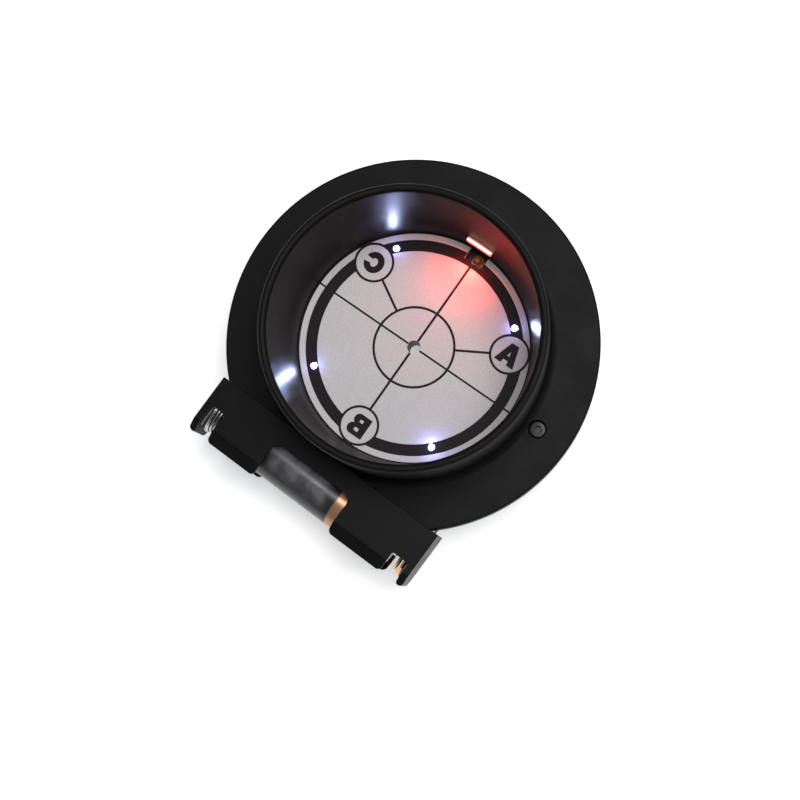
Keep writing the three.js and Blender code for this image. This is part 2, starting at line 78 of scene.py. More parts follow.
flange_radius = 0.0381
flange_thickness = 0.004
body_radius = 0.0352
body_depth = 0.011
tube_radius = 0.028
foot_fillet = 0.0017
bore_mouth_radius = 0.0263
bore_foot_radius = 0.0241
stack_radius = 0.0254
stack_gap = 0.0003
plate_depth = 0.006
bore_end = -plate_depth + 0.0001
foot_rise = 0.00012
flange_round = 0.0005
flange_back_round = 0.0004
body_round = 0.0002
edge_round = 0.00012
seat_top = 0.0028
seat_gap = 0.00005
screw_circle = 0.0309
screw_seat_floor = -0.0026
screw_seat_gap = 0.00018
screw_hole_radius = 0.0012
at_face = Matrix.Translation(face_centre)

# The flat runs along the battery holder, which is turned a little off the X axis. In the
# holder's frame X is the cell's length, +Y points at the tube and the cell is the origin.
lift = Vector(next(joint["axis"] for joint in frame["joints"] if joint["name"] == "battery_lift"))
along = Vector((-lift.y, lift.x, 0))
jacket_low, jacket_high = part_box("battery_jacket")
jacket_offset = 0.00055
holder_back = 0.0066
cell_centre = (jacket_low + jacket_high) / 2 + along * jacket_offset
in_holder = Matrix.Translation(cell_centre) @ Matrix((
    (along.x, -lift.x, 0, 0),
    (along.y, -lift.y, 0, 0),
    (0, 0, 1, 0),
    (0, 0, 0, 1),
))


def finished(bm, name, place=at_face, sharp_angle=35):
    """Make a smooth-shaded object of a bmesh, with its place in its mesh."""
    bmesh.ops.remove_doubles(bm, verts=bm.verts, dist=1e-7)
    bmesh.ops.recalc_face_normals(bm, faces=bm.faces)
    mesh = bpy.data.meshes.new(name)
    bm.to_mesh(mesh)
    bm.free()
    mesh.transform(place)
    mesh.shade_smooth()
    mesh.set_sharp_from_angle(angle=math.radians(sharp_angle))
    piece = bpy.data.objects.new(name, mesh)
    bpy.context.scene.collection.objects.link(piece)
    return piece


def turned(profile, steps=128, closed=True):
    """Spin a profile of (radius, height) corners round the Z axis."""
    bm = bmesh.new()
    verts = [bm.verts.new((radius, 0, height)) for radius, height in profile]
    ends = verts[1:] + verts[:1] if closed else verts[1:]
    edges = [bm.edges.new(pair) for pair in zip(verts, ends)]
    bmesh.ops.spin(bm, geom=verts + edges, cent=(0, 0, 0), axis=(0, 0, 1),
                   angle=math.tau, steps=steps, use_merge=True)
    bmesh.ops.remove_doubles(bm, verts=bm.verts, dist=1e-7)
    bmesh.ops.recalc_face_normals(bm, faces=bm.faces)
    return bm


def soften_ring(bm, radius, height, width, segments=4):
    """Bevel the ring edge that lies at this radius and height."""
    def on_ring(vert):
        return (abs(math.hypot(vert.co.x, vert.co.y) - radius) < 2e-6
                and abs(vert.co.z - height) < 2e-6)
    ring = [edge for edge in bm.edges if all(on_ring(vert) for vert in edge.verts)]
    bmesh.ops.bevel(bm, geom=ring, offset=width, segments=segments, profile=0.5,
                    affect="EDGES", material=-1)


def cylinder(radius, low, high, x=0, y=0, segments=48):
    """A closed round bar between two heights."""
    bm = bmesh.new()
    bmesh.ops.create_cone(bm, cap_ends=True, segments=segments, radius1=radius, radius2=radius,
                          depth=high - low, matrix=Matrix.Translation((x, y, (low + high) / 2)))
    return bm


def block(low, high):
    """A closed box between two corners."""
    low, high = Vector(low), Vector(high)
    bm = bmesh.new()
    bmesh.ops.create_cube(bm, size=1, matrix=Matrix.Translation((low + high) / 2)
                          @ Matrix.Diagonal((*(high - low), 1)))
    return bm


def combine(piece, cutters, operation="DIFFERENCE", place=at_face, sharp_angle=35):
    """Cut or join a piece with each closed bmesh of a list in turn, and keep the result."""
    for bm in cutters:
        helper = finished(bm, "cutter", place)
        step = piece.modifiers.new("combine", "BOOLEAN")
        step.operation = operation
        step.solver = "EXACT"
        step.object = helper
        bpy.context.view_layer.update()
        solved = bpy.data.meshes.new_from_object(
            piece.evaluated_get(bpy.context.evaluated_depsgraph_get()))
        piece.modifiers.clear()
        piece.data = solved
        bpy.data.objects.remove(helper)
    piece.data.shade_smooth()
    piece.data.set_sharp_from_angle(angle=math.radians(sharp_angle))


def soft_edges(piece, width, segments=2, angle=40):
    """Round every sharp edge a little, as a cutter or a mould leaves it."""
    bevel = piece.modifiers.new("soft_edges", "BEVEL")
    bevel.width = width
    bevel.segments = segments
    bevel.limit_method = "ANGLE"
    bevel.angle_limit = math.radians(angle)
    piece.modifiers.new("even_shading", "WEIGHTED_NORMAL").keep_sharp = True


def stands_for(piece, body, slot, material, *nodes):
    """Give a piece its body, its material and the CAD nodes that it replaces; the slot argument is not
    used.
    """
    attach(piece, body)
    if nodes:
        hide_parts(*nodes)
    piece.data.materials.clear()
    piece.data.materials.append(material)


def new_group(name, inputs, outputs):
    """A shader node group with number inputs and the named outputs."""
    group = bpy.data.node_groups.new(name, "ShaderNodeTree")
    group.interface.new_socket("Place", in_out="INPUT", socket_type="NodeSocketVector")
    for label, value in inputs:
        socket = group.interface.new_socket(label, in_out="INPUT", socket_type="NodeSocketFloat")
        socket.default_value = value
    for label in outputs:
        group.interface.new_socket(label, in_out="OUTPUT", socket_type="NodeSocketFloat")
    return group, group.nodes.new("NodeGroupInput"), group.nodes.new("NodeGroupOutput")


def maths(tree, operation, first, second=None, third=None):
    """A Math node; each operand is a number or a socket."""
    node = tree.nodes.new("ShaderNodeMath")
    node.operation = operation
    for socket, value in zip(node.inputs, (first, second, third)):
        if isinstance(value, (int, float)):
            socket.default_value = value
        elif value is not None:
            tree.links.new(value, socket)
    return node.outputs[0]


def axes_of(tree, vector):
    """The X, Y and Z sockets of a vector socket."""
    node = tree.nodes.new("ShaderNodeSeparateXYZ")
    tree.links.new(vector, node.inputs["Vector"])
    return node.outputs


def ranged(tree, value, low, high, to_low=0.0, to_high=1.0):
    """A smooth Map Range of a socket."""
    node = tree.nodes.new("ShaderNodeMapRange")
    node.interpolation_type = "SMOOTHSTEP"
    tree.links.new(value, node.inputs["Value"])
    for label, number in (("From Min", low), ("From Max", high), ("To Min", to_low), ("To Max", to_high)):
        node.inputs[label].default_value = number
    return node.outputs["Result"]


def noise(tree, place, scale, detail=3.0, roughness=0.55):
    """A noise texture read at a place socket; its scale is a number or a socket."""
    node = tree.nodes.new("ShaderNodeTexNoise")
    if isinstance(scale, (int, float)):
        node.inputs["Scale"].default_value = scale
    else:
        tree.links.new(scale, node.inputs["Scale"])
    node.inputs["Detail"].default_value = detail
    node.inputs["Roughness"].default_value = roughness
    tree.links.new(place, node.inputs["Vector"])
    return node.outputs["Fac"]


def make_surface_grain():
    """Fine grain of a moulded or turned surface: a height, a slow tone and sparse dust."""
    group, start, end = new_group("surface_grain", [("Fine", 5200.0), ("Slow", 160.0)],
                                  ["Height", "Tone", "Dust"])
    place = start.outputs["Place"]
    fine = noise(group, place, start.outputs["Fine"], 4.0, 0.6)
    slow = noise(group, place, start.outputs["Slow"], 2.0)
    cells = group.nodes.new("ShaderNodeTexVoronoi")
    cells.inputs["Scale"].default_value = 900.0
    group.links.new(place, cells.inputs["Vector"])
    speck = ranged(group, cells.outputs["Distance"], 0.05, 0.09, 1.0, 0.0)
    rare = ranged(group, noise(group, place, 340.0, 1.0), 0.60, 0.66)
    group.links.new(fine, end.inputs["Height"])
    group.links.new(slow, end.inputs["Tone"])
    group.links.new(maths(group, "MULTIPLY", speck, rare), end.inputs["Dust"])
    return group


surface_grain = make_surface_grain()


def new_material(name):
    """An empty node material with its shader and the Object coordinates."""
    material = bpy.data.materials.new(name)
    material.use_nodes = True
    tree = material.node_tree
    shader = tree.nodes["Principled BSDF"]
    place = tree.nodes.new("ShaderNodeTexCoord").outputs["Object"]
    return material, tree, shader, place


def placed_group(tree, group, place, **values):
    """A group node in a material, read at a place socket, with its own values."""
    node = tree.nodes.new("ShaderNodeGroup")
    node.node_tree = group
    tree.links.new(place, node.inputs["Place"])
    for label, value in values.items():
        node.inputs[label].default_value = value
    return node


def blended(tree, factor, first, second):
    """A colour mixed between two colours by a mask."""
    node = tree.nodes.new("ShaderNodeMix")
    node.data_type = "RGBA"
    tree.links.new(factor, node.inputs["Factor"])
    for socket, colour in ((node.inputs["A"], first), (node.inputs["B"], second)):
        if isinstance(colour, tuple):
            socket.default_value = (*colour, 1)
        else:
            tree.links.new(colour, socket)
    return node.outputs["Result"]


def bumped(tree, shader, height, distance):
    """A Bump node from a height to the shader's normal."""
    node = tree.nodes.new("ShaderNodeBump")
    node.inputs["Distance"].default_value = distance
    tree.links.new(height, node.inputs["Height"])
    tree.links.new(node.outputs["Normal"], shader.inputs["Normal"])


def black_plastic(name, colour, pale, rough_low, rough_high, bump=None, fine=5200.0, gloss=0.15):
    """Black plastic with grain, slow changes of sheen and a little dust."""
    material, tree, shader, place = new_material(name)
    shader.inputs["Specular IOR Level"].default_value = gloss
    grain = placed_group(tree, surface_grain, place, Fine=fine)
    toned = blended(tree, grain.outputs["Tone"], colour, pale)
    dust = maths(tree, "MULTIPLY", grain.outputs["Dust"], 0.25)
    dusty = blended(tree, dust, toned, (0.07, 0.068, 0.066))
    tree.links.new(dusty, shader.inputs["Base Color"])
    sheen = ranged(tree, grain.outputs["Tone"], 0.3, 0.7, rough_low, rough_high)
    tree.links.new(sheen, shader.inputs["Roughness"])
    if bump:
        bumped(tree, shader, grain.outputs["Height"], bump)
    return material, tree, shader, place, sheen, grain.outputs["Height"]


def make_housing_black():
    """The housing's plastic: matte outside, polished on the bore's wall."""
    material, tree, shader, place, sheen, height = black_plastic(
        "housing_black", (0.0035, 0.0035, 0.0036), (0.0055, 0.0055, 0.0057), 0.46, 0.54)
    centre = tree.nodes.new("ShaderNodeMapping")
    centre.inputs["Location"].default_value = -face_centre
    tree.links.new(place, centre.inputs["Vector"])
    axes = axes_of(tree, centre.outputs["Vector"])
    squares = maths(tree, "ADD", maths(tree, "POWER", axes["X"], 2.0),
                    maths(tree, "POWER", axes["Y"], 2.0))
    radius = maths(tree, "SQRT", squares)
    bore = ranged(tree, radius, bore_mouth_radius - 0.0001, bore_mouth_radius + 0.0004, 1.0, 0.0)
    tree.links.new(ranged(tree, bore, 0.0, 1.0, 0.09, 0.04), shader.inputs["Specular IOR Level"])
    polish = ranged(tree, noise(tree, place, 160.0), 0.35, 0.65, 0.35, 0.38)
    rough = tree.nodes.new("ShaderNodeMix")
    for label, value in (("Factor", bore), ("A", sheen), ("B", polish)):
        tree.links.new(value, rough.inputs[label])
    tree.links.new(rough.outputs["Result"], shader.inputs["Roughness"])
    outside = maths(tree, "SUBTRACT", 1.0, bore)
    bumped(tree, shader, maths(tree, "MULTIPLY", height, outside), 1.2e-5)
    return material


housing_black = make_housing_black()

rim_round = (tube_radius - bore_mouth_radius) / 2 * 0.96
housing_bm = turned([
    (stack_radius + stack_gap, -body_depth),
    (body_radius, -body_depth),
    (body_radius, -flange_thickness),
    (flange_radius, -flange_thickness),
    (flange_radius, 0),
    (tube_radius + foot_fillet + 0.0006, 0),
    (tube_radius + foot_fillet + 0.0004, foot_rise),
    (tube_radius, foot_rise),
    (tube_radius, tube_height),
    (bore_mouth_radius, tube_height),
    (bore_foot_radius, bore_end),
    (stack_radius + stack_gap, bore_end),
], steps=192)
soften_ring(housing_bm, tube_radius, foot_rise, foot_fillet, 8)
soften_ring(housing_bm, tube_radius, tube_height, rim_round, 6)
soften_ring(housing_bm, bore_mouth_radius, tube_height, rim_round, 6)
soften_ring(housing_bm, flange_radius, 0, flange_round, 4)
soften_ring(housing_bm, flange_radius, -flange_thickness, flange_back_round, 3)
soften_ring(housing_bm, body_radius, -body_depth, body_round, 2)
front_housing = finished(housing_bm, "front_housing_turned")

light_low, light_high = [corner - face_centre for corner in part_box("red_light_bar")]
pocket_gap = Vector((0.00015, 0.00015, 0.00015))
screw_low, screw_high = [corner - face_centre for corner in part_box("housing_screw_1")]
head_radius = (screw_high.x - screw_low.x) / 2
cuts = [block(light_low - pocket_gap - Vector((0, 0.002, 0)), light_high + pocket_gap)]
for side in (-1, 1):
    cuts.append(cylinder(head_radius + screw_seat_gap, screw_seat_floor, 0.003, side * screw_circle))
    cuts.append(cylinder(screw_hole_radius, -0.012, screw_seat_floor + 0.0002, side * screw_circle))
combine(front_housing, cuts)
seat_z = face_centre.z + seat_top - cell_centre.z
combine(front_housing, [block((-0.05, -0.03, -0.03), (0.05, holder_back + seat_gap, seat_z))],
        place=in_holder)
soft_edges(front_housing, edge_round)
stands_for(front_housing, "housing", "housing", housing_black, "front_housing")

# ------------------------------------------------------------------ target plate
# A disc of white composite, printed with a black ring, a cross, a centre circle and three
# index letters. The letters are mirrored because they are read in a mirror. Four holes let
# the white lights through, a notch clears the red one and the peephole is drilled last.

plate_low, plate_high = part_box("target_plate")
plate_top = plate_high.z - face_centre.z
peep_radius = 0.0014
led_circle = 0.021
led_hole = 0.00068
led_angles = [math.radians(45 + 90 * turn) for turn in range(4)]
notch_half_width = 0.00215
notch_inner = 0.021
cut_low = -0.01


def plate_openings():
    """The notch, the peephole and the four light holes, as cutters."""
    openings = [
        cylinder(peep_radius, cut_low, 0, segments=64),
        block((-notch_half_width, notch_inner, cut_low), (notch_half_width, 0.03, 0)),
    ]
    for angle in led_angles:
        openings.append(cylinder(led_hole, cut_low, 0, led_circle * math.cos(angle),
                                 led_circle * math.sin(angle), 32))
    return openings


def make_plate_white():
    """White board with a fine printed grain and faint stains."""
    material, tree, shader, place = new_material("plate_white")
    grain = placed_group(tree, surface_grain, place, Fine=3800.0, Slow=90.0)
    paper = blended(tree, ranged(tree, grain.outputs["Height"], 0.38, 0.62),
                    (0.50, 0.485, 0.49), (0.60, 0.59, 0.595))
    stain = maths(tree, "MULTIPLY", grain.outputs["Tone"], 0.35)
    tree.links.new(blended(tree, stain, paper, (0.50, 0.47, 0.475)), shader.inputs["Base Color"])
    shader.inputs["Roughness"].default_value = 0.6
    bumped(tree, shader, grain.outputs["Height"], 1.5e-5)
    return material


plate_white = make_plate_white()
plate_bm = turned([(0, plate_low.z - face_centre.z), (stack_radius, plate_low.z - face_centre.z),
                   (stack_radius, plate_top), (0, plate_top)], closed=False)
target_plate = finished(plate_bm, "target_plate_disc")
combine(target_plate, plate_openings())
stands_for(target_plate, "housing", "plate", plate_white, "target_plate")

ink_thickness = 0.00003
thinning = 0.12
join = 0.0002
ring_inner, ring_outer = 0.0201, 0.0225
edge_inner, edge_outer = 0.0238, 0.0247
centre_circle = 0.00834
line_half = 0.00025
fine_line_half = 0.0002
line_start = peep_radius + 0.00002
letter_circle = 0.0042
letter_outline = 0.00048
letter_place = 0.0197
letter_angles = {"A": math.radians(30), "C": math.radians(150), "B": math.radians(270)}


def annulus(inner, outer, x=0, y=0, steps=160):
    """A thin printed ring."""
    bm = turned([(inner, plate_top), (outer, plate_top), (outer, plate_top + ink_thickness),
                 (inner, plate_top + ink_thickness)], steps)
    bmesh.ops.translate(bm, verts=bm.verts, vec=(x, y, 0))
    return bm


def ruled_line(start, end, half_width, angle=0):
    """A thin printed line that runs outwards at an angle from the plate's centre."""
    bm = block((start, -half_width, plate_top), (end, half_width, plate_top + ink_thickness))
    bmesh.ops.rotate(bm, verts=bm.verts, matrix=Matrix.Rotation(angle, 3, "Z"))
    return bm


def make_ink_black():
    """Printed black with a brown cast and tiny pinholes."""
    material, tree, shader, place = new_material("ink_black")
    grain = placed_group(tree, surface_grain, place, Fine=4200.0, Slow=300.0)
    solid = blended(tree, ranged(tree, grain.outputs["Height"], 0.35, 0.65),
                    (0.007, 0.0036, 0.0043), (0.011, 0.006, 0.007))
    tree.links.new(solid, shader.inputs["Base Color"])
    shader.inputs["Roughness"].default_value = 0.5
    shader.inputs["Specular IOR Level"].default_value = 0.12
    bumped(tree, shader, grain.outputs["Height"], 1e-5)
    return material


ink_black = make_ink_black()
plate_print = finished(annulus(ring_inner, ring_outer), "plate_print")
letter_spots = {letter: (letter_place * math.cos(angle), letter_place * math.sin(angle))
                for letter, angle in letter_angles.items()}
combine(plate_print, plate_openings()
        + [cylinder(letter_circle, cut_low, 0, x, y, 96) for x, y in letter_spots.values()])
circles = [
    annulus(centre_circle - line_half, centre_circle + line_half),
    annulus(edge_inner, edge_outer),
]
lines = [
    ruled_line(line_start, ring_inner + join, line_half, math.pi / 2),
    ruled_line(line_start, letter_place - letter_circle + join / 2, line_half, -math.pi / 2),
]
for angle in (0, math.pi):
    lines.append(ruled_line(line_start, ring_inner + join, fine_line_half, angle))
    lines.append(ruled_line(ring_outer - join, edge_inner + join, fine_line_half, angle))
for letter in "AC":
    lines.append(ruled_line(centre_circle, letter_place - letter_circle + join / 2, line_half,
                            letter_angles[letter]))
outlines = [annulus(letter_circle - letter_outline, letter_circle + 0.00002, x, y, 96)
            for x, y in letter_spots.values()]
for level, inked in enumerate((circles, lines, outlines), 1):
    # each level is a little thinner than the last, so that no two faces lie in one plane
    for bm in inked:
        bmesh.ops.scale(bm, verts=bm.verts, vec=(1, 1, 1 - thinning * level),
                        space=Matrix.Translation((0, 0, -plate_top - ink_thickness / 2)))
    combine(plate_print, inked, "UNION")
stands_for(plate_print, "housing", "plate", ink_black)


def extruded(corners, shift):
    """A closed prism: a flat outline pushed along a vector."""
    bm = bmesh.new()
    face = bm.faces.new([bm.verts.new(corner) for corner in corners])
    grown = bmesh.ops.extrude_face_region(bm, geom=[face])["geom"]
    pushed = [item for item in grown if isinstance(item, bmesh.types.BMVert)]
    bmesh.ops.translate(bm, verts=pushed, vec=shift)
    bmesh.ops.recalc_face_normals(bm, faces=bm.faces)
    return bm


def slab(corners, x=0, y=0):
    """A thin printed patch inside a list of corners, in mm, mirrored left to right."""
    return extruded([(x - across / 1000, y + up / 1000, plate_top) for across, up in corners],
                    (0, 0, ink_thickness))


def bowl(right, low, high, left):
    """Corners of a letter's bowl: straight at the left, a half oval at the right."""
    middle, half = (low + high) / 2, (high - low) / 2
    shoulder = right - half * 0.9
    turns = [math.pi * (step / 12 - 0.5) for step in range(13)]
    return [(left, high), (left, low)] + [(shoulder + (right - shoulder) * math.cos(turn),
                                           middle + half * math.sin(turn)) for turn in turns]


def oval(wide, tall, steps=48):
    """Corners of an oval round the letter's middle."""
    return [(wide * math.cos(math.tau * step / steps), tall * math.sin(math.tau * step / steps))
            for step in range(steps)]


letter_shapes = {
    "A": ([[(-2.3, -2.3), (-0.85, 2.3), (0.85, 2.3), (2.3, -2.3)]],
          [[(-0.72, -2.4), (-0.55, -1.4), (0.55, -1.4), (0.72, -2.4)],
           [(-0.3, -0.45), (0, 0.6), (0.3, -0.45)]]),
    "B": ([bowl(1.75, -0.05, 2.3, -1.9), bowl(2.05, -2.3, 0.1, -1.9)],
          [bowl(0.4, 0.65, 1.3, -0.45), bowl(0.55, -1.35, -0.6, -0.45)]),
    "C": ([oval(2.15, 2.3)],
          [oval(0.75, 0.95), [(0.2, -0.4), (0.2, 0.4), (2.4, 0.65), (2.4, -0.65)]]),
}
for letter, (inked, left_bare) in letter_shapes.items():
    x, y = letter_spots[letter]
    index_letter = finished(slab(inked[0], x, y), f"index_letter_{letter}")
    combine(index_letter, [slab(corners, x, y) for corners in inked[1:]], "UNION")
    openings = [slab(corners, x, y) for corners in left_bare]
    for bm in openings:
        bmesh.ops.scale(bm, verts=bm.verts, vec=(1, 1, 20),
                        space=Matrix.Translation((0, 0, -plate_top - ink_thickness / 2)))
    combine(index_letter, openings)
    stands_for(index_letter, "housing", "plate", ink_black)

# ------------------------------------------------------------------ lights on the plate
# Four clear LEDs shine bluish white through the plate's ring. A red LED stands dim in the
# notch, and a clear red bar at the foot of the wall carries its light across the bore.


def facing_up(tree, low, high):
    """A mask that rises as the surface faces straight up."""
    axes = axes_of(tree, tree.nodes.new("ShaderNodeNewGeometry").outputs["Normal"])
    return ranged(tree, axes["Z"], low, high)


def make_lit_lens(name, colour, glow, low, high, facing_from, facing_to, seen_share=1.0):
    """A clear lens, brightest where it faces up, that can look dimmer than it shines."""
    material, tree, shader, place = new_material(name)
    flow = noise(tree, place, 900.0, 1.0)
    tree.links.new(blended(tree, flow, colour, tuple(min(1.0, c * 1.1) for c in colour)),
                   shader.inputs["Base Color"])
    shader.inputs["Roughness"].default_value = 0.12
    core = facing_up(tree, facing_from, facing_to)
    tree.links.new(blended(tree, core, tuple(low * c for c in glow), tuple(high * c for c in glow)),
                   shader.inputs["Emission Color"])
    seen = tree.nodes.new("ShaderNodeLightPath").outputs["Is Camera Ray"]
    tree.links.new(ranged(tree, seen, 0.0, 1.0, 1.0, seen_share), shader.inputs["Emission Strength"])
    return material


bar_low, bar_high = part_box("red_light_bar")


def make_red_bar():
    """The red bar: white-hot along its front edge, a dim pink behind it."""
    material, tree, shader, place = new_material("red_bar_lens")
    flow = noise(tree, place, 1400.0, 1.0)
    tree.links.new(blended(tree, flow, (0.6, 0.08, 0.06), (0.7, 0.11, 0.08)),
                   shader.inputs["Base Color"])
    shader.inputs["Roughness"].default_value = 0.15
    back = ranged(tree, axes_of(tree, place)["Y"], bar_low.y + 0.00055, bar_low.y + 0.00075)
    front = blended(tree, facing_up(tree, 0.6, 0.97), (1.8, 0.12, 0.08), (2.4, 1.5, 1.3))
    tree.links.new(blended(tree, back, front, (0.5, 0.13, 0.12)), shader.inputs["Emission Color"])
    shader.inputs["Emission Strength"].default_value = 1.0
    return material


white_lens = make_lit_lens("white_lens", (0.7, 0.75, 0.9), (0.50, 0.58, 1.0), low=0.25, high=700.0,
                           facing_from=0.6, facing_to=0.93, seen_share=0.008)
red_dome_lens = make_lit_lens("red_dome_lens", (0.035, 0.02, 0.01), (0.22, 0.07, 0.02), low=0.05,
                              high=0.4, facing_from=0.3, facing_to=0.9)


def domed_lens(name, node, nose_radius, nose_length):
    """A collared round lens with a domed nose, filling the node's box."""
    low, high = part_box(node)
    middle = (low + high) / 2
    radius = (high.x - low.x) / 2
    height = high.z - low.z
    shoulder = height - nose_length
    step = 0.0002
    collar = 0.0005
    bm = turned([(0, 0), (radius, 0), (radius, collar), (radius - step, collar),
                 (radius - step, shoulder), (nose_radius, shoulder + step), (nose_radius, height),
                 (0, height)], 48, closed=False)
    soften_ring(bm, nose_radius, height, nose_radius * 0.9, 8)
    return finished(bm, name, Matrix.Translation((middle.x, middle.y, low.z)))


for number in range(1, 5):
    lens = domed_lens(f"white_led_{number}_lens", f"white_led_{number}",
                      nose_radius=0.0006, nose_length=0.0011)
    stands_for(lens, "housing", "white_lens", white_lens, f"white_led_{number}")
red_dome = domed_lens("red_led_lens", "red_led", nose_radius=0.0009, nose_length=0.0012)
stands_for(red_dome, "housing", "red_lens", red_dome_lens, "red_led")

red_bar = finished(block(bar_low, bar_high), "red_light_bar_lens", Matrix.Identity(4))
soft_edges(red_bar, 0.00022, 4)
stands_for(red_bar, "housing", "red_lens", make_red_bar(), "red_light_bar")


def glow_lamp(name, x, y, above_plate, power, colour, radius):
    """A tiny lamp that spills a lens's light over the plate and the wall."""
    data = bpy.data.lights.new(name, "POINT")
    data.energy = power
    data.color = colour
    data.shadow_soft_size = radius
    lamp = bpy.data.objects.new(name, data)
    bpy.context.scene.collection.objects.link(lamp)
    lamp.location = face_centre + Vector((x, y, plate_top + above_plate))
    lamp.visible_camera = False
    lamp.visible_glossy = False
    return lamp


for number, (angle, power) in enumerate(zip(led_angles, (0.00032, 0.00032, 0.00032, 0.00104)), 1):
    glow_lamp(f"white_glow_{number}", led_circle * math.cos(angle), led_circle * math.sin(angle),
              above_plate=0.0011, power=power, colour=(0.28, 0.31, 1.0), radius=0.0004)

# The red bar's spill comes from a short, thin lamp in front of it, turned to face the plate.
red_glow = glow_lamp("red_glow", 0, bar_low.y - face_centre.y - 0.0021, above_plate=0.0036,
                     power=0.0042, colour=(1.0, 0.04, 0.03), radius=0)
red_aim = face_centre + Vector((0, 0.009, plate_top))
red_glow.data.type = "AREA"
red_glow.data.shape = "RECTANGLE"
red_glow.data.size, red_glow.data.size_y = 0.0055, 0.0008
red_glow.rotation_euler = (red_aim - red_glow.location).to_track_quat("-Z", "Y").to_euler()
glow_lamp("amber_glow", 0.0009, 0.0192, above_plate=0.0012, power=0.00006,
          colour=(1.0, 0.45, 0.03), radius=0.0006)

# ------------------------------------------------------------------ housing screws
# M2 socket head screws of black-oxide steel with cold-headed, hexagon-socket heads. They
# stand in seats at the tube's foot and hold the housing to the rear cover's stack.


def make_metal_marks():
    """Streaks and spots of handled metal: a roughness change and a tarnish mask."""
    group, start, end = new_group("metal_marks", [("Fine", 3000.0)], ["Streak", "Tarnish"])
    place = start.outputs["Place"]
    group.links.new(noise(group, place, start.outputs["Fine"], 2.0), end.inputs["Streak"])
    group.links.new(ranged(group, noise(group, place, 700.0), 0.5, 0.72), end.inputs["Tarnish"])
    return group


metal_marks = make_metal_marks()


def make_metal(name, colour, tarnish, rough_low, rough_high, amount=0.5):
    """A metal with fine streaks and a little tarnish."""
    material, tree, shader, place = new_material(name)
    marks = placed_group(tree, metal_marks, place)
    dulled = maths(tree, "MULTIPLY", marks.outputs["Tarnish"], amount)
    tree.links.new(blended(tree, dulled, colour, tarnish), shader.inputs["Base Color"])
    tree.links.new(ranged(tree, marks.outputs["Streak"], 0.3, 0.7, rough_low, rough_high),
                   shader.inputs["Roughness"])
    shader.inputs["Metallic"].default_value = 1.0
    bumped(tree, shader, marks.outputs["Streak"], 4e-6)
    return material


black_oxide = make_metal("black_oxide", (0.02, 0.02, 0.021), (0.035, 0.031, 0.027), 0.3, 0.42)
head_height = 0.0019
shank_radius = 0.0008
socket_radius = 0.00087
socket_depth = 0.001
for number in (1, 2):
    low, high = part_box(f"housing_screw_{number}")
    middle = (low + high) / 2
    height = high.z - low.z
    neck = height - head_height
    screw_bm = turned([(0, 0), (shank_radius, 0), (shank_radius, neck), (head_radius, neck),
                       (head_radius, height), (0, height)], 64, closed=False)
    soften_ring(screw_bm, head_radius, height, 0.00022, 4)
    soften_ring(screw_bm, shank_radius, 0, 0.0003, 2)
    place = Matrix.Translation((middle.x, middle.y, low.z))
    screw = finished(screw_bm, f"housing_screw_{number}_turned", place)
    socket = cylinder(socket_radius, height - socket_depth, height + socket_depth, segments=6)
    combine(screw, [socket], place=place)
    soft_edges(screw, 0.00004)
    stands_for(screw, "housing", "black_steel", black_oxide, f"housing_screw_{number}")

# ------------------------------------------------------------------ spacer, board and driver
# Inside: a black ring spaces the plate from a black board, which carries the lights in front
# and a small step-up driver behind. These keep their CAD shapes.

moulded_black = black_plastic("moulded_black", (0.0035, 0.0035, 0.0037), (0.0055, 0.0055, 0.0058),
                              0.36, 0.44, bump=8e-6, fine=4200.0, gloss=0.08)[0]
part_black = black_plastic("part_black", (0.02, 0.02, 0.02), (0.035, 0.035, 0.035),
                           0.45, 0.6, bump=1e-5, fine=6000.0)[0]


def make_board_mask():
    """Black solder mask with copper tracks that show faintly through it."""
    material, tree, shader, place = new_material("board_mask")
    grain = placed_group(tree, surface_grain, place, Fine=5200.0, Slow=420.0)
    track = ranged(tree, grain.outputs["Tone"], 0.52, 0.55)
    tree.links.new(blended(tree, track, (0.008, 0.010, 0.011), (0.016, 0.019, 0.019)),
                   shader.inputs["Base Color"])
    shader.inputs["Roughness"].default_value = 0.32
    shader.inputs["Specular IOR Level"].default_value = 0.2
    bumped(tree, shader, track, 2e-5)
    return material


def dressed(finishes):
    """Give carried CAD nodes their materials."""
    for node, material in finishes.items():
        carried = frame["nodes"][node]
        carried.data.materials.clear()
        carried.data.materials.append(material)


nickel = make_metal("nickel", (0.46, 0.45, 0.44), (0.2, 0.18, 0.16), 0.16, 0.28)
dull_nickel = make_metal("dull_nickel", (0.12, 0.115, 0.11), (0.06, 0.055, 0.05), 0.4, 0.5)
dressed({
    "plate_spacer": moulded_black,
    "led_board": make_board_mask(),
    "driver_inductor": part_black,
    "driver_chip": part_black,
    "driver_capacitor": nickel,
    **{f"resistor_{number}": part_black for number in (1, 2, 3)},
    "switch_body": nickel,
    "negative_contact": dull_nickel,
    "positive_contact": dull_nickel,
})

# ------------------------------------------------------------------ rear cover and peep sleeve
# A flat black cover closes the back. Its shallow dish centres the eye on a black sleeve that
# lines the peephole and widens towards the eye.

